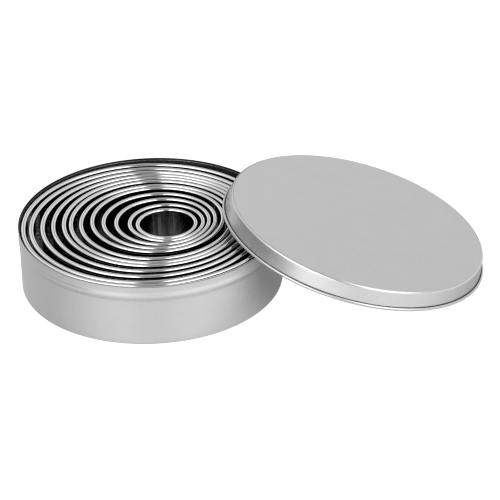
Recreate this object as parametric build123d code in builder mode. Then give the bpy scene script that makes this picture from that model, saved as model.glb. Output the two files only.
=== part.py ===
from build123d import *
from math import asin, cos, degrees, radians, sin, sqrt
import os

os.makedirs("parts", exist_ok=True)

# A nest of twelve plain round biscuit cutters standing in a low round tin, whose lid leans on the
# tin's rim. Millimetres, +Z up. The origin is the centre of the tin's base, and +X points to the lid.

# Stock
tinplate_thickness = 0.3
strip_thickness = 0.5

# Cutters: a strip bent to a ring, lapped and spot welded, its rim rolled outward, its foot bevelled
cutter_height = 28.2
smallest_opening_diameter = 23.6
rim_width = 2.0
rim_depth = 2.3
cutting_bevel_height = 1.2
lap_length = 6.0
lap_foot_height = 2.0

# Room in the nest: the least gap beside a rim, and the play that each cutter has on top of it
nest_clearance = 0.3
typical_play = 1.5

# For each cutter, largest first: its play, how much of that play it has slid, which way it has slid,
# and where its lap is, both seen from above and counted anticlockwise from +X
play_shares = (1.16, 0.84, 1.23, 0.94, 0.93, 0.31, 0.94, 1.35, 1.29, 1.27, 1.36, 0.74)
slide_shares = (0.97, 0.51, 0.63, 0.97, 0.97, 0.97, 0.59, 0.94, 0.76, 0.88, 0.97, 0.97)
slide_angles = (-145, -87, 43, 40, 44, -31, -26, 70, -58, -33, -35, -84)
lap_angles = (12, -20, 28, 87, -34, 231, 96, 8, 42, 88, 104, 268)

# Tin: drawn from one blank, with its edge turned a little outward, a pressed bead that guides the
# lid, and an eased foot
rim_headroom = 0.5
flare_height = 0.8
flare_reach = 0.36
guide_bead_depth = 5.6
guide_bead_height = 4.8
guide_bead_stand = 0.38
tin_foot_ease = 0.6

# Lid: drawn from one blank, with a rounded shoulder and a hem curled outward
lid_clearance = 0.2
lid_height = 8.3
lid_shoulder = 1.7
hem_diameter = 1.4

# How the lid leans: its hem lies across the tin's rim at two points, this many degrees to each side
# of its heading, and its far edge stands on the table
rest_angle = 39.3
lid_heading = -1.2
rest_clearance = 0.2

# The nest's radii, worked out from the smallest cutter outward
opening_radii = [smallest_opening_diameter / 2]
for share in reversed(play_shares[1:]):
    rim_outside = opening_radii[0] + rim_width
    opening_radii.insert(0, rim_outside + nest_clearance + typical_play * share)

# Tin sizes that follow the nest
tin_wall_inside = opening_radii[0] + rim_width + nest_clearance + typical_play * play_shares[0]
tin_wall_outside = tin_wall_inside + tinplate_thickness
tin_height = tinplate_thickness + cutter_height + rim_headroom
guide_bead_middle = tin_height - guide_bead_depth
guide_bead_top = guide_bead_middle + guide_bead_height / 2
guide_bead_foot = guide_bead_middle - guide_bead_height / 2
flare_foot = tin_height - flare_height
mouth_inside = tin_wall_inside + flare_reach
mouth_outside = tin_wall_outside + flare_reach
mouth_middle = (mouth_inside + mouth_outside) / 2

# Lid sizes that follow the tin
lid_skirt_inside = mouth_outside + lid_clearance
lid_skirt_outside = lid_skirt_inside + tinplate_thickness
hem_radius = hem_diameter / 2
hem_centre_radius = lid_skirt_inside + hem_radius

# The lean that brings the hem down on the rim and on the table at once
crossing_sine = mouth_middle * sin(radians(rest_angle)) / hem_centre_radius
crossing_cosine = sqrt(1 - crossing_sine**2)
slope_length = hem_centre_radius * (1 + crossing_cosine)
lean = asin((tin_height + rest_clearance) / slope_length)
lid_reach = mouth_middle * cos(radians(rest_angle)) + hem_centre_radius * crossing_cosine * cos(lean)

heading = Vector(cos(radians(lid_heading)), sin(radians(lid_heading)), 0)
downhill = heading * cos(lean) - Vector(0, 0, 1) * sin(lean)
lid_normal = heading * sin(lean) + Vector(0, 0, 1) * cos(lean)
hem_centre = heading * lid_reach + Vector(0, 0, 1) * (hem_radius + hem_centre_radius * sin(lean))
lid_foot = hem_centre - lid_normal * hem_radius

# The hem is too small to show as round, so its section is a polygon of this many sides
hem_sides = 8

# Tin
with BuildPart() as tin_body:
    with BuildSketch(Plane.XZ):
        with BuildLine():
            Polyline(
                (tin_wall_inside, guide_bead_foot),
                (tin_wall_inside, tin_foot_ease),
                (tin_wall_outside - tin_foot_ease, tinplate_thickness),
                (0, tinplate_thickness),
                (0, 0),
                (tin_wall_outside - tin_foot_ease, 0),
                (tin_wall_outside, tin_foot_ease),
                (tin_wall_outside, guide_bead_foot),
            )
            ThreePointArc(
                (tin_wall_outside, guide_bead_foot),
                (tin_wall_outside + guide_bead_stand, guide_bead_middle),
                (tin_wall_outside, guide_bead_top),
            )
            Polyline(
                (tin_wall_outside, guide_bead_top),
                (tin_wall_outside, flare_foot),
                (mouth_outside, tin_height),
                (mouth_inside, tin_height),
                (tin_wall_inside, flare_foot),
                (tin_wall_inside, guide_bead_top),
            )
            ThreePointArc(
                (tin_wall_inside, guide_bead_top),
                (tin_wall_inside + guide_bead_stand, guide_bead_middle),
                (tin_wall_inside, guide_bead_foot),
            )
        make_face()
    revolve(axis=Axis.Z)
tin_body.part.label = "tin_body"
export_step(tin_body.part, "parts/tin_body.step")

# Lid, drawn in its own leaning section plane: x runs downhill and y runs up its axis
lid_section = Plane(origin=lid_foot, x_dir=downhill, z_dir=downhill.cross(lid_normal))
shoulder_step = lid_shoulder * (1 - cos(radians(45)))

with BuildPart() as tin_lid:
    with BuildSketch(lid_section):
        with BuildLine():
            Polyline(
                (0, lid_height),
                (lid_skirt_outside - lid_shoulder, lid_height),
                (lid_skirt_outside - shoulder_step, lid_height - shoulder_step),
                (lid_skirt_outside, lid_height - lid_shoulder),
                (lid_skirt_outside, hem_radius),
                (lid_skirt_inside, hem_radius),
                (lid_skirt_inside, lid_height - lid_shoulder),
                (lid_skirt_outside - lid_shoulder, lid_height - tinplate_thickness),
                (0, lid_height - tinplate_thickness),
                close=True,
            )
        make_face()
        with Locations((hem_centre_radius, hem_radius)):
            RegularPolygon(hem_radius, hem_sides)
    revolve(axis=Axis(lid_foot, lid_normal))
tin_lid.part.label = "tin_lid"
export_step(tin_lid.part, "parts/tin_lid.step")

# Cutters, each standing on the tin's floor, a little aside from the middle of the cutter round it
cutter_foot = tinplate_thickness
cutter_top = cutter_foot + cutter_height
roll_radius = rim_width / 2
middle = Vector(0, 0, cutter_foot)

nest = zip(opening_radii, play_shares, slide_shares, slide_angles, lap_angles)
for number, (opening_radius, play_share, slide_share, slide_angle, lap_angle) in enumerate(nest, start=1):
    slide = typical_play * play_share * slide_share
    middle += Vector(cos(radians(slide_angle)), sin(radians(slide_angle)), 0) * slide

    # The section at the lap, with x outward and y up
    wall_outside = opening_radius + strip_thickness
    outward = Vector(cos(radians(lap_angle)), sin(radians(lap_angle)), 0)
    section = Plane(origin=middle, x_dir=outward, z_dir=outward.cross(Vector(0, 0, 1)))
    ring_axis = Axis(middle, (0, 0, 1))
    with BuildPart() as cutter:
        with BuildSketch(section):
            with BuildLine():
                Polyline(
                    (opening_radius, 0),
                    (opening_radius, cutter_height - roll_radius),
                    (opening_radius + roll_radius, cutter_height),
                    (opening_radius + rim_width, cutter_height - roll_radius),
                    (wall_outside, cutter_height - rim_depth),
                    (wall_outside, cutting_bevel_height),
                    close=True,
                )
            make_face()
        revolve(axis=ring_axis)

        # The strip's end laps over its start, outside, under the rolled rim
        with BuildSketch(section):
            with BuildLine():
                Polyline(
                    (opening_radius + strip_thickness / 2, lap_foot_height),
                    (wall_outside + strip_thickness, lap_foot_height),
                    (wall_outside + strip_thickness, cutter_height - roll_radius),
                    (opening_radius + strip_thickness / 2, cutter_height - roll_radius),
                    close=True,
                )
            make_face()
        revolve(axis=ring_axis, revolution_arc=degrees(lap_length / wall_outside))
    cutter.part.label = f"cutter_{number:02d}"
    export_step(cutter.part, f"parts/{cutter.part.label}.step")
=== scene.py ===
import bpy
import bmesh
import math
import random
from mathutils import Matrix, Vector


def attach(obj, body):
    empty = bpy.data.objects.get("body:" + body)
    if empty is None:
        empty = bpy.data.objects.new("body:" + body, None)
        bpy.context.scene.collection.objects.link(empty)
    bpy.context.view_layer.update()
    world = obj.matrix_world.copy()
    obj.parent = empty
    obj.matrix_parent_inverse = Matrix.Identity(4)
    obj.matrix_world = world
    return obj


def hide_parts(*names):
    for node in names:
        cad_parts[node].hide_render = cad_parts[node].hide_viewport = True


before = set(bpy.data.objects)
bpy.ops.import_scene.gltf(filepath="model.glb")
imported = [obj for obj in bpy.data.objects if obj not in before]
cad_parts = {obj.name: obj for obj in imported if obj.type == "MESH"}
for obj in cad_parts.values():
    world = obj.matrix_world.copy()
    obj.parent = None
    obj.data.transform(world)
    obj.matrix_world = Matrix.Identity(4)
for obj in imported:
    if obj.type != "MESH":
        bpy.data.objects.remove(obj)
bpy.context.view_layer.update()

MM = 0.001

# Sizes, in mm, as in the CAD
SHEET = 0.3
STRIP = 0.5
CUTTER_HEIGHT = 28.2
SMALLEST_OPENING = 23.6
RIM_WIDTH = 2.0
BEVEL = 1.2
LAP_LENGTH = 6.0
LAP_FOOT = 2.0
NEST_CLEARANCE = 0.3
PLAY = 1.5
PLAY_SHARES = (1.16, 0.84, 1.23, 0.94, 0.93, 0.31, 0.94, 1.35, 1.29, 1.27, 1.36, 0.74)
SLIDE_SHARES = (0.97, 0.51, 0.63, 0.97, 0.97, 0.97, 0.59, 0.94, 0.76, 0.88, 0.97, 0.97)
SLIDE_ANGLES = (-145, -87, 43, 40, 44, -31, -26, 70, -58, -33, -35, -84)
LAP_ANGLES = (12, -20, 28, 87, -34, 231, 96, 8, 42, 88, 104, 268)
TIN_HEIGHT = 29.0
GUIDE_DEPTH = 5.6
GUIDE_HEIGHT = 4.8
GUIDE_STAND = 0.38
FLARE_HEIGHT = 0.8
FLARE_REACH = 0.36
LID_CLEARANCE = 0.2
LID_HEIGHT = 8.3
HEM = 1.4
REST_ANGLE = 39.3
LID_HEADING = -1.2
REST_CLEARANCE = 0.2

# The nest's radii, from the smallest cutter outward, and what follows them, as in the CAD
radii = [SMALLEST_OPENING / 2]
for share in reversed(PLAY_SHARES[1:]):
    radii.insert(0, radii[0] + RIM_WIDTH + NEST_CLEARANCE + PLAY * share)
wall_inside = radii[0] + RIM_WIDTH + NEST_CLEARANCE + PLAY * PLAY_SHARES[0]
wall_outside = wall_inside + SHEET
mouth = wall_outside + FLARE_REACH - SHEET / 2
skirt_inside = wall_outside + FLARE_REACH + LID_CLEARANCE
hem_centre_radius = skirt_inside + HEM / 2

# How the lid leans, as in the CAD
rest = math.radians(REST_ANGLE)
crossing_sine = mouth * math.sin(rest) / hem_centre_radius
crossing_cosine = math.sqrt(1 - crossing_sine**2)
lean = math.asin((TIN_HEIGHT + REST_CLEARANCE) / (hem_centre_radius * (1 + crossing_cosine)))
reach = mouth * math.cos(rest) + hem_centre_radius * crossing_cosine * math.cos(lean)
UP = Vector((0, 0, 1))
heading = Vector((math.cos(math.radians(LID_HEADING)), math.sin(math.radians(LID_HEADING)), 0))
downhill = heading * math.cos(lean) - UP * math.sin(lean)
lid_normal = heading * math.sin(lean) + UP * math.cos(lean)
hem_centre = heading * reach + UP * (HEM / 2 + hem_centre_radius * math.sin(lean))
lid_foot = hem_centre - lid_normal * (HEM / 2)


# Camera, fitted to the tin's rim and foot in the photo
FOCAL, FRAME_WIDTH = 2966.9, 500     # pixels
CAMERA_DISTANCE = 1329.7             # mm from the origin
CAMERA_HEIGHT, YAW, PITCH, ROLL = (math.radians(a) for a in (30.14, 2.186, 29.70, -1.553))
SENSOR = 36
PIXEL_FILTER = 1.15


def camera():
    level = math.cos(PITCH)
    forward = Vector((math.sin(YAW) * level, math.cos(YAW) * level, -math.sin(PITCH)))
    right = Vector((math.cos(YAW), -math.sin(YAW), 0))
    upward = right.cross(forward)
    side = right * math.cos(ROLL) + upward * math.sin(ROLL)
    top = -right * math.sin(ROLL) + upward * math.cos(ROLL)
    data = bpy.data.cameras.new("camera")
    data.sensor_fit = "HORIZONTAL"
    data.sensor_width = SENSOR
    data.lens = FOCAL / FRAME_WIDTH * SENSOR
    data.clip_start, data.clip_end = 0.05, 30
    obj = bpy.data.objects.new("camera", data)
    turn = Matrix((side, top, -forward)).transposed().to_4x4()
    back, height = CAMERA_DISTANCE * math.cos(CAMERA_HEIGHT), CAMERA_DISTANCE * math.sin(CAMERA_HEIGHT)
    place = Vector((0, -back, height))
    obj.matrix_world = Matrix.Translation(place * MM) @ turn
    bpy.context.collection.objects.link(obj)
    bpy.context.scene.camera = obj


camera()
bpy.context.scene.view_settings.view_transform = "Standard"
bpy.context.scene.cycles.filter_width = PIXEL_FILTER


# Sections, as lists of x outward from the axis and y up
def arc(x, y, radius, start, end, step):
    """Points from one angle to another, in degrees, about one for each step."""
    count = max(2, round(abs(end - start) / step))
    turns = [math.radians(start + (end - start) * k / count) for k in range(count + 1)]
    return [(x + radius * math.cos(a), y + radius * math.sin(a)) for a in turns]


def flattened(x, y, radius, start, end, step, power):
    """An arc pressed flatter on its sides, as a rolled rim is."""
    out = []
    for px, py in arc(0, 0, 1, start, end, step):
        size = (abs(px) ** power + abs(py) ** power) ** (1 / power)
        out.append((x + radius * px / size, y + radius * py / size))
    return out


def sheet_section(path, ends=()):
    """The closed section of a sheet round its middle line, which starts on the axis.

    Its far end is rounded, or thinned to the given half widths.
    """
    left, right = [], []
    for k, (x, y) in enumerate(path):
        ax, ay = path[max(k - 1, 0)]
        bx, by = path[min(k + 1, len(path) - 1)]
        dx, dy = bx - ax, by - ay
        length = math.hypot(dx, dy)
        half = ends[k - len(path)] if len(path) - k <= len(ends) else SHEET / 2
        nx, ny = -dy / length * half, dx / length * half
        left.append((x + nx, y + ny))
        right.append((x - nx, y - ny))
    x, y = path[-1]
    turn = math.degrees(math.atan2(y - path[-2][1], x - path[-2][0]))
    cap = arc(x, y, half, turn + 90, turn - 90, 36)[1:-1]
    section = left + cap + right[::-1]
    section[0] = (0, section[0][1])
    section[-1] = (0, section[-1][1])
    return section


# Meshes
SHARP = math.radians(38)     # edges that turn by more than this stay crisp
AROUND = 384                 # stations round the tin and the lid


def finish_mesh(bm, name, material, matrix=None):
    """Makes an object of a mesh, its place in the mesh itself."""
    bmesh.ops.remove_doubles(bm, verts=bm.verts, dist=1e-7)
    bmesh.ops.recalc_face_normals(bm, faces=bm.faces)
    for face in bm.faces:
        face.smooth = True
    for edge in bm.edges:
        if len(edge.link_faces) == 2 and edge.calc_face_angle(0) > SHARP:
            edge.smooth = False
    mesh = bpy.data.meshes.new(name)
    bm.to_mesh(mesh)
    bm.free()
    if matrix is not None:
        mesh.transform(matrix)
    mesh.materials.append(material)
    obj = bpy.data.objects.new(name, mesh)
    bpy.context.collection.objects.link(obj)
    return obj


def turned(bm, section, stations, shape=None, painted_shade=None):
    """Turns a closed section about Z. A section that starts and ends on the axis closes there.

    shape moves a point at a station, and the last argument gives each point of the section a painted
    shade, from 0 to 1.
    """
    shade_layer = bm.verts.layers.float.new("painted_shade") if painted_shade else None
    rings = []
    for turn in stations:
        ring = []
        for k, (x, y) in enumerate(section):
            if shape:
                x, y = shape(k, x, y, turn)
            vert = bm.verts.new((x * math.cos(turn) * MM, x * math.sin(turn) * MM, y * MM))
            if painted_shade:
                vert[shade_layer] = painted_shade[k]
            ring.append(vert)
        rings.append(ring)
    count = len(section)
    on_axis = abs(section[0][0]) < 1e-6 and abs(section[-1][0]) < 1e-6
    for a in range(len(rings)):
        here, there = rings[a], rings[(a + 1) % len(rings)]
        for k in range(count - 1 if on_axis else count):
            bm.faces.new((here[k], there[k], there[(k + 1) % count], here[(k + 1) % count]))
    if on_axis:
        for k in (0, -1):
            bmesh.ops.pointmerge(bm, verts=[ring[k] for ring in rings], merge_co=rings[0][k].co)
        bmesh.ops.dissolve_degenerate(bm, dist=1e-9, edges=bm.edges)


def even(count):
    return [math.tau * k / count for k in range(count)]


# Materials
class Nodes:
    """A short way to write a shader's nodes."""

    def __init__(self, tree):
        self.tree = tree
        tree.nodes.clear()

    def add(self, kind, inputs=(), **settings):
        node = self.tree.nodes.new("ShaderNode" + kind)
        for key, value in settings.items():
            setattr(node, key, value)
        for key, value in dict(inputs).items():
            if isinstance(value, bpy.types.NodeSocket):
                self.tree.links.new(value, node.inputs[key])
            else:
                node.inputs[key].default_value = value
        return node

    def maths(self, operation, a, b=0.0):
        return self.add("Math", {0: a, 1: b}, operation=operation).outputs[0]

    def plus(self, a, b):
        return self.maths("ADD", a, b)

    def times(self, a, b):
        return self.maths("MULTIPLY", a, b)

    def mix(self, amount, none, full):
        return self.add("Mix", {0: amount, 2: none, 3: full}, data_type="FLOAT").outputs[0]

    def split(self, vector):
        return self.add("SeparateXYZ", {0: vector}).outputs

    def span(self, value, low, high, to_low=0.0, to_high=1.0, smooth=True):
        """Turns low to high into to_low to to_high, and holds what lies beyond at these ends."""
        kind = "SMOOTHSTEP" if smooth else "LINEAR"
        inputs = {"Value": value, "From Min": low, "From Max": high, "To Min": to_low, "To Max": to_high}
        return self.add("MapRange", inputs, interpolation_type=kind).outputs[0]

    def band(self, value, start, full, fading, end):
        """1 from full to fading, and 0 before start and after end."""
        return self.times(self.span(value, start, full), self.span(value, fading, end, 1.0, 0.0))

    def between(self, amount, none, full, smooth=True):
        return self.span(amount, 0.0, 1.0, none, full, smooth)

    def dimmed(self, level, amount, least, smooth=True):
        return self.times(level, self.between(amount, 1.0, least, smooth))

    def noise(self, vector, scale, detail, roughness):
        """Noise at one scale, or at one for each axis."""
        if isinstance(scale, tuple):
            vector, scale = self.add("Mapping", {"Vector": vector, "Scale": scale}).outputs[0], 1.0
        inputs = {"Vector": vector, "Scale": scale, "Detail": detail, "Roughness": roughness}
        return self.add("TexNoise", inputs).outputs["Fac"]


RELIEF_DEPTH = 0.00003     # metres, of the bump on both metals


def metal(name, colour, roughness):
    """A metal whose finish the caller adds, over the plain values that a reader of sockets finds."""
    material = bpy.data.materials.new(name)
    material.use_nodes = True
    n = Nodes(material.node_tree)
    plain = {"Metallic": 1.0, "Base Color": (*colour, 1), "Roughness": roughness}
    shader = n.add("BsdfPrincipled", plain)
    out = n.add("OutputMaterial")
    n.tree.links.new(shader.outputs[0], out.inputs[0])
    return material, n, shader, n.add("TexCoord").outputs["Object"]


def finish_metal(n, shader, level, blue, rough, relief, strength):
    """Links a grey level with a touch of blue, the roughness and the relief."""
    colour = n.add("CombineColor", {0: level, 1: level, 2: n.times(level, blue)})
    bump = n.add("Bump", {"Strength": strength, "Distance": RELIEF_DEPTH, "Height": relief})
    n.tree.links.new(colour.outputs[0], shader.inputs["Base Color"])
    n.tree.links.new(rough, shader.inputs["Roughness"])
    n.tree.links.new(bump.outputs[0], shader.inputs["Normal"])


def tinplate():
    """Satin tinplate: a fine grain and a faint mottle, with painted shade on the tin's floor and along
    its turned edge.
    """
    material, n, shader, place = metal("tinplate", (0.64, 0.64, 0.645), 0.34)
    grain = n.noise(place, (160, 2600, 2600), 3.0, 0.6)
    mottle = n.noise(place, 90.0, 3.0, 0.55)
    shade = n.plus(n.span(mottle, 0.3, 0.7, -0.008, 0.008), n.span(grain, 0.3, 0.7, -0.008, 0.008))
    level = n.plus(shade, 0.61)
    rough = n.plus(n.span(mottle, 0.25, 0.75, 0.27, 0.3), n.span(grain, 0.3, 0.7, -0.012, 0.012))
    # painted shade on the floor inside the tin, found by its height and by facing up
    facing = n.split(n.add("NewGeometry").outputs["True Normal"])[2]
    low = n.span(n.split(place)[2], 0.6 * MM, 1.0 * MM, 1.0, 0.0)
    level = n.dimmed(level, n.times(low, n.span(facing, 0.8, 0.95)), 0.45)
    # painted shade along the tin's turned edge, nearly black inside the mouth; the lid carries none
    painted_shade = n.add("Attribute", attribute_name="painted_shade").outputs["Fac"]
    level = n.dimmed(level, painted_shade, 0.03, smooth=False)
    finish_metal(n, shader, level, 1.006, rough, grain, 0.12)
    return material


def stainless():
    """Bright strip: fine drawing lines, soft wipe marks, painted streaks of reflection and shade on the
    walls, and a ground cutting edge.
    """
    material, n, shader, place = metal("stainless", (0.78, 0.78, 0.785), 0.14)
    lines = n.noise(place, (130, 130, 9000), 2.0, 0.6)
    wipe = n.noise(place, (70, 70, 160), 3.0, 0.5)
    # painted streaks of reflection and shade, long and upright
    painted_streaks = n.noise(place, (330, 330, 4), 2.0, 0.6)
    streaks = n.noise(place, (700, 700, 12), 2.0, 0.6)
    height = n.split(place)[2]
    ground = n.span(height, 1.35 * MM, 1.6 * MM, 1.0, 0.0)
    level = n.plus(n.span(wipe, 0.3, 0.7, 0.755, 0.80), n.times(ground, 0.03))
    # painted reflection and shade: upright streaks darken the walls and end under the rims, which stay
    # bright
    under_rim = n.span(height, 25.5 * MM, 27 * MM, 1.0, 0.0)
    painted_streaks = n.times(n.span(painted_streaks, 0.4, 0.6, 0.34, 0.0), under_rim)
    level = n.times(level, n.maths("SUBTRACT", 1.0, painted_streaks))
    rough = n.plus(n.span(wipe, 0.25, 0.75, 0.035, 0.07), n.span(lines, 0.3, 0.7, -0.01, 0.015))
    rough = n.plus(rough, n.times(ground, 0.12))
    relief = n.plus(n.times(lines, 0.4), streaks)
    finish_metal(n, shader, level, 1.005, rough, relief, 0.1)
    return material


TINPLATE = tinplate()
STAINLESS = stainless()


# Tin
FLAT_STEPS = (12, 24, 36, 46, 52, 56)     # radii of the loops across the tin's floor and the lid's flat
TIN_FOOT = 0.45                           # radius of the drawn foot, at the sheet's middle
GUIDE_SHARE = 0.88                        # the bead is drawn a little shallower than in the CAD
EDGE_STEPS = 5                            # from the flare's foot to the tin's cut edge
EDGE_CURVE = 1.3
EDGE_HALVES = (SHEET / 2, 0.14, 0.12, 0.09)   # half the sheet's thickness at its last loops
# painted shade on the tin's turned edge: full inside the mouth, lighter on the outside under the flare
INNER_SHADE, OUTER_SHADE = 1.0, 0.25
UNSHADED_TOP = 0.15                         # height of the strip along the top of the edge that is left without painted shade


def guide_bead(y, middle):
    away = (y - middle) / (GUIDE_HEIGHT / 2)
    return GUIDE_SHARE * GUIDE_STAND * (0.5 + 0.5 * math.cos(math.pi * away)) if abs(away) < 1 else 0.0


def make_tin():
    half = SHEET / 2
    wall = wall_inside + half
    path = [(0, half)]
    path += [(x, half) for x in FLAT_STEPS]
    path += arc(wall - TIN_FOOT, half + TIN_FOOT, TIN_FOOT, -90, 0, 10)
    # loops up the wall, close together over the guide bead
    low, guide = half + TIN_FOOT, TIN_HEIGHT - GUIDE_DEPTH
    rows = [low + (guide - GUIDE_HEIGHT / 2 - low) * k / 8 for k in range(1, 8)]
    rows += [guide - GUIDE_HEIGHT / 2 + GUIDE_HEIGHT * k / 20 for k in range(21)]
    rows += [guide + GUIDE_HEIGHT / 2 + 0.6 * k for k in range(1, 5)]
    path += [(wall + guide_bead(y, guide), y) for y in rows]
    # the edge, turned outward and thinned where it was cut
    edge_top = TIN_HEIGHT - EDGE_HALVES[-1]
    for k in range(EDGE_STEPS + 1):
        way = k / EDGE_STEPS
        path.append((wall + FLARE_REACH * way**EDGE_CURVE, edge_top - FLARE_HEIGHT * (1 - way)))
    section = sheet_section(path, EDGE_HALVES)
    # painted shade for each point of the section, only on the flare: nearly black inside the mouth, a
    # lighter dark line outside under the flare
    painted_shade = []
    for k, (x, y) in enumerate(section):
        outer = OUTER_SHADE if y < TIN_HEIGHT - UNSHADED_TOP else 0.0
        shade_here = INNER_SHADE if k < len(path) + 1 else outer
        painted_shade.append(shade_here if y > TIN_HEIGHT - FLARE_HEIGHT else 0.0)
    bm = bmesh.new()
    turned(bm, section, even(AROUND), painted_shade=painted_shade)
    tin = finish_mesh(bm, "tin_shell", TINPLATE)
    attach(tin, "tin")
    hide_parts("tin_body")


make_tin()


# Lid, drawn with a slight taper and its flat a little higher than in the CAD
LID_TAPER = 1.0
LID_RISE = 0.3
LID_SHOULDER = 1.3     # radius, outside
SHOULDER_END = 6       # degrees above level, where the shoulder meets the tapered skirt
HEM_ABOVE = 0.2        # the skirt turns into the hem this far above the hem's middle


def make_lid():
    half = SHEET / 2
    wall = skirt_inside + half
    top = LID_HEIGHT + LID_RISE - half
    bend = LID_SHOULDER - half
    path = [(0, top)]
    path += [(x, top) for x in FLAT_STEPS]
    path += arc(wall - LID_TAPER - bend, top - bend, bend, 90, SHOULDER_END, 9)
    x, y = path[-1]
    path += [(x + (wall - x) * k / 6, y + (HEM / 2 + HEM_ABOVE - y) * k / 6) for k in range(1, 7)]
    path += arc(hem_centre_radius, HEM / 2, HEM / 2 - half, 180, 435, 15)
    bm = bmesh.new()
    turned(bm, sheet_section(path), even(AROUND))
    turn = Matrix((downhill, lid_normal.cross(downhill), lid_normal)).transposed().to_4x4()
    lid = finish_mesh(bm, "lid_shell", TINPLATE, Matrix.Translation(lid_foot * MM) @ turn)
    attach(lid, "lid")
    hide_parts("tin_lid")


make_lid()


# Cutters
EDGE_WIDTH = 0.06                   # of the ground cutting edge
BEVEL_ROW = 1.0                     # height of the first loop inside
ROLL_END = -128                     # degrees, where the rolled rim ends beside the wall
ROLL_POWER = 2.5                    # a round roll has 2
CURL_END = 150                      # degrees, where the roll's inside meets the wall
UNDER_ROLL, BELOW_ROLL = 0.3, 1.2   # spacing of the loops on the wall under the roll
NOTCH, NOTCH_ROOM = 0.07, 0.1       # half width of the seam's notch, and of the room kept for it
RIM_NOTCH, WALL_NOTCH = 0.22, 0.12  # its depth
SWELL, RISE = 0.035, 0.03           # how far a rim's thickness and height wander
FULLER, LARGEST = 0.08, 3           # more on the rims of the largest cutters, and how many they are
FULLER_LEFT = 0.07                  # more on the left of each rim, and less on its right
STATIONS = 6.4                      # for each mm of radius

# where a ring has been pressed out of round: its number, the direction in degrees, how far and how wide
DENTS = ((1, -40, 1.2, 16), (2, 88, 0.3, 26), (3, 100, 0.25, 26))


def waver(seed, size, waves):
    """A small periodic wander round a ring."""
    draw = random.Random(seed)
    terms = [(w, draw.uniform(0.5, 1.0) / len(waves), draw.uniform(0, math.tau)) for w in waves]
    return lambda turn: size * sum(a * math.sin(w * turn + p) for w, a, p in terms)


def turn_from(turn, other):
    return (turn - other + math.pi) % math.tau - math.pi


def dented(number, turn):
    out = 0.0
    for which, towards, size, width in DENTS:
        if which == number:
            away = turn_from(turn, math.radians(towards))
            out += size * math.exp(-((away / math.radians(width)) ** 2))
    return out


def ring_section(radius):
    """The strip's section: ground edge, wall, and rim rolled outward into a hollow bead."""
    roll = RIM_WIDTH / 2
    middle = CUTTER_HEIGHT - roll
    section = [(radius, 0.0), (radius, BEVEL_ROW)]
    section += [(radius, BEVEL_ROW + (middle - BEVEL_ROW) * k / 8) for k in range(1, 8)]
    bead_from = len(section)
    section += flattened(radius + roll, middle, roll, 180, ROLL_END, 8, ROLL_POWER)
    section += arc(radius + roll, middle, roll - STRIP, ROLL_END, CURL_END, 22)
    bead_to = len(section)
    join = middle - UNDER_ROLL
    below = join - BELOW_ROLL
    section += [(radius + STRIP, join), (radius + STRIP, below)]
    section += [(radius + STRIP, below + (BEVEL - below) * k / 6) for k in range(1, 7)]
    section += [(radius + EDGE_WIDTH, 0.0)]
    return section, bead_from, bead_to


def make_cutter(number, radius, centre):
    name = f"cutter_{number:02d}"
    section, bead_from, bead_to = ring_section(radius)
    seam = math.radians(LAP_ANGLES[number - 1])
    outer = radius + STRIP
    swell = waver(number, SWELL, (3, 7, 11, 17, 29))
    rise = waver(number + 40, RISE, (2, 5, 9, 15))
    fuller = FULLER if number <= LARGEST else 0.0
    middle = (radius + RIM_WIDTH / 2, CUTTER_HEIGHT - RIM_WIDTH / 2)

    def shape(k, x, y, turn):
        notch = max(0.0, 1 - abs(turn_from(turn, seam)) * outer / NOTCH)
        if bead_from <= k < bead_to:
            grow = swell(turn) + fuller - FULLER_LEFT * math.cos(turn) - RIM_NOTCH * notch
            dx, dy = x - middle[0], y - middle[1]
            size = math.hypot(dx, dy)
            x, y = x + dx / size * grow, y + dy / size * grow + min(0.0, rise(turn))
        elif k < bead_from and y > BEVEL_ROW / 2:
            x += WALL_NOTCH * notch
        return x + dented(number, turn), y

    count = max(120, round(radius * STATIONS))
    room = NOTCH_ROOM / outer
    stations = [seam + t / outer for t in (-NOTCH_ROOM, -NOTCH, 0.0, NOTCH, NOTCH_ROOM)]
    stations += [seam + room + (math.tau - 2 * room) * k / count for k in range(1, count)]
    bm = bmesh.new()
    turned(bm, section, stations, shape)
    place = Matrix.Translation(Vector((centre[0], centre[1], SHEET)) * MM)
    ring = finish_mesh(bm, name + "_ring", STAINLESS, place)
    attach(ring, name)
    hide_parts(name)
    make_lap(name, outer, seam, place)


# Laps, in mm: the spot welds' dimples with the ridge round each, and the sheet's eased border
LAP_GAP = 0.35                 # from the rim
LAP_ACROSS, LAP_UP = 26, 84    # faces
WELD_HEIGHTS = (0.16, 0.5, 0.84)
WELD_DEPTH, WELD_RADIUS = 0.16, 0.85
RIDGE_HEIGHT, RIDGE_RADIUS, RIDGE_WIDTH = 0.05, 1.25, 0.3
EASE_DEPTH, EASE_WIDTH = 0.1, 0.15
LAP_SUNK = 0.05                # its border goes this far into the ring's wall


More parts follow.
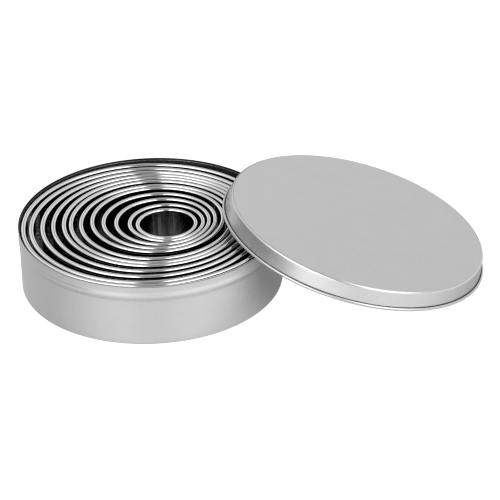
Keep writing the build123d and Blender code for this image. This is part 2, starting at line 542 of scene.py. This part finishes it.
def make_lap(name, outer, seam, place):
    """The strip's end, lapped over its start outside, with its spot welds."""
    low, high = LAP_FOOT, CUTTER_HEIGHT - RIM_WIDTH - LAP_GAP
    welds = [(LAP_LENGTH / 2, low + (high - low) * s) for s in WELD_HEIGHTS]
    bm = bmesh.new()
    grid = []
    for i in range(LAP_ACROSS + 1):
        row = []
        s = LAP_LENGTH * i / LAP_ACROSS
        for j in range(LAP_UP + 1):
            z = low + (high - low) * j / LAP_UP
            depth = 0.0
            for ws, wz in welds:
                far = math.hypot(s - ws, z - wz)
                depth += WELD_DEPTH * math.exp(-((far / WELD_RADIUS) ** 4))
                depth -= RIDGE_HEIGHT * math.exp(-(((far - RIDGE_RADIUS) / RIDGE_WIDTH) ** 2))
            inset = min(s, LAP_LENGTH - s, z - low, high - z)
            r = outer + STRIP - depth - EASE_DEPTH * max(0.0, 1 - inset / EASE_WIDTH)
            turn = seam + s / outer
            row.append(bm.verts.new((r * math.cos(turn) * MM, r * math.sin(turn) * MM, z * MM)))
        grid.append(row)
    for i in range(LAP_ACROSS):
        for j in range(LAP_UP):
            bm.faces.new((grid[i][j], grid[i + 1][j], grid[i + 1][j + 1], grid[i][j + 1]))
    border = bmesh.ops.extrude_edge_only(bm, edges=[e for e in bm.edges if e.is_boundary])
    for v in border["geom"]:
        if isinstance(v, bmesh.types.BMVert):
            shrink = (outer - LAP_SUNK) * MM / math.hypot(v.co.x, v.co.y)
            v.co.x *= shrink
            v.co.y *= shrink
    obj = finish_mesh(bm, name + "_lap", STAINLESS, place)
    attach(obj, name)


centre = Vector((0.0, 0.0))
for index, radius in enumerate(radii):
    slide = PLAY * PLAY_SHARES[index] * SLIDE_SHARES[index]
    turn = math.radians(SLIDE_ANGLES[index])
    centre = centre + Vector((math.cos(turn), math.sin(turn))) * slide
    make_cutter(index + 1, radius, centre)


# Studio
FLOOR_SIZE, FLOOR_DEPTH = 3.0, 0.00003            # metres from the origin to each side, and down
LID_SHADE_AT, LID_SHADE_STRETCH = 85 * MM, 1.6    # the shade under the lid, longer along X
LID_SHADE_DARK, LID_SHADE_END = 20 * MM, 78 * MM
LID_SHADE_LEVEL = 0.3

# Levels of the room
ROOM_LEFT, ROOM_RIGHT = 1.12, 1.02
GAP_BEHIND, GAP_FRONT = 0.55, 0.36
BOX_STRENGTH = 1.6
LOW_LEFT, LOW_RIGHT = 0.66, 1.03
UNDER_CAMERA = 0.93
STRAIGHT_DOWN, AT_HORIZON = 0.88, 1.6
REAR_STRIP, LEFT_FLAG = 0.4, 0.36


def floor():
    bm = bmesh.new()
    for x, y in ((-1, -1), (1, -1), (1, 1), (-1, 1)):
        bm.verts.new((x * FLOOR_SIZE, y * FLOOR_SIZE, -FLOOR_DEPTH))
    bm.faces.new(bm.verts)
    material = bpy.data.materials.new("floor")
    material.use_nodes = True
    n = Nodes(material.node_tree)
    lit = n.add("BsdfDiffuse", {"Color": (0.06, 0.06, 0.06, 1)})
    glow = n.add("Emission", {"Color": (1, 1, 1, 1), "Strength": 0.98})
    seen = n.add("AddShader", {0: lit.outputs[0], 1: glow.outputs[0]})
    # what the metal sees in it: the room below the horizon, shaded where the lid stands over it
    place = n.split(n.add("NewGeometry").outputs["Position"])
    along = n.maths("DIVIDE", n.maths("SUBTRACT", place[0], LID_SHADE_AT), LID_SHADE_STRETCH)
    away = n.maths("SQRT", n.plus(n.times(along, along), n.times(place[1], place[1])))
    shade = n.span(away, LID_SHADE_DARK, LID_SHADE_END, LID_SHADE_LEVEL, 1.0)
    tint = n.add("CombineColor", {0: shade, 1: shade, 2: shade})
    clear = n.add("BsdfTransparent", {"Color": tint.outputs[0]})
    direct = n.add("LightPath").outputs["Is Camera Ray"]
    both = n.add("MixShader", {0: direct, 1: clear.outputs[0], 2: seen.outputs[0]})
    n.add("OutputMaterial", {0: both.outputs[0]})
    finish_mesh(bm, "floor", material)


def studio():
    """A white room with soft lights. Its parts are placed by direction: x right, y to the back, z up."""
    world = bpy.data.worlds.new("studio")
    bpy.context.scene.world = world
    world.use_nodes = True
    n = Nodes(world.node_tree)
    x, y, z = n.split(n.add("TexCoord").outputs["Generated"])
    front = n.span(y, 0.15, -0.3)
    # a dark gap from front to back between the lights, just right of the middle and wider in front
    offside = n.plus(x, -0.01)
    side = n.maths("ABSOLUTE", offside)
    clear_of_gap = n.span(side, n.between(front, 0.04, 0.09), n.between(front, 0.15, 0.22))
    gap_level = n.between(front, GAP_BEHIND, GAP_FRONT)
    # a soft box to each side of the camera, the right one a little narrower
    share = n.maths("DIVIDE", side, n.span(offside, -0.1, 0.1, 1.0, 0.85))
    within = n.times(n.span(side, 0.16, 0.26), n.span(share, 0.85, 1.05, 1.0, 0.0))
    box = n.times(n.times(within, n.band(z, 0.0, 0.1, 0.82, 0.95)), front)
    lit = n.plus(n.span(x, 0.15, 0.4, ROOM_LEFT, ROOM_RIGHT), n.times(box, BOX_STRENGTH))
    above = n.mix(clear_of_gap, gap_level, lit)
    # below the horizon: dimmer to the left, a little dimmer under the camera, darker straight down
    turn = n.maths("ARCTAN2", x, n.times(y, -1.0))
    leftward = n.span(turn, math.radians(-105), math.radians(-30), LOW_LEFT, LOW_RIGHT)
    middle = n.span(n.maths("ABSOLUTE", turn), math.radians(4), math.radians(32), UNDER_CAMERA, 1.0)
    steep = n.span(z, -0.95, 0.0, STRAIGHT_DOWN, AT_HORIZON, smooth=False)
    below = n.times(n.times(leftward, middle), steep)
    level = n.mix(n.span(z, -0.06, 0.02), below, above)
    # a dim strip of the room low behind the object, and a dark flag to its left
    rear = n.times(n.span(y, 0.82, 0.93), n.band(z, -0.45, -0.3, 0.04, 0.16))
    flag = n.times(n.span(x, -0.92, -0.66, 1.0, 0.0), n.band(z, -0.26, -0.14, 0.45, 0.65))
    level = n.dimmed(n.dimmed(level, rear, REAR_STRIP), flag, LEFT_FLAG)
    n.add("OutputWorld", {0: n.add("Background", {"Strength": level}).outputs[0]})


floor()
studio()
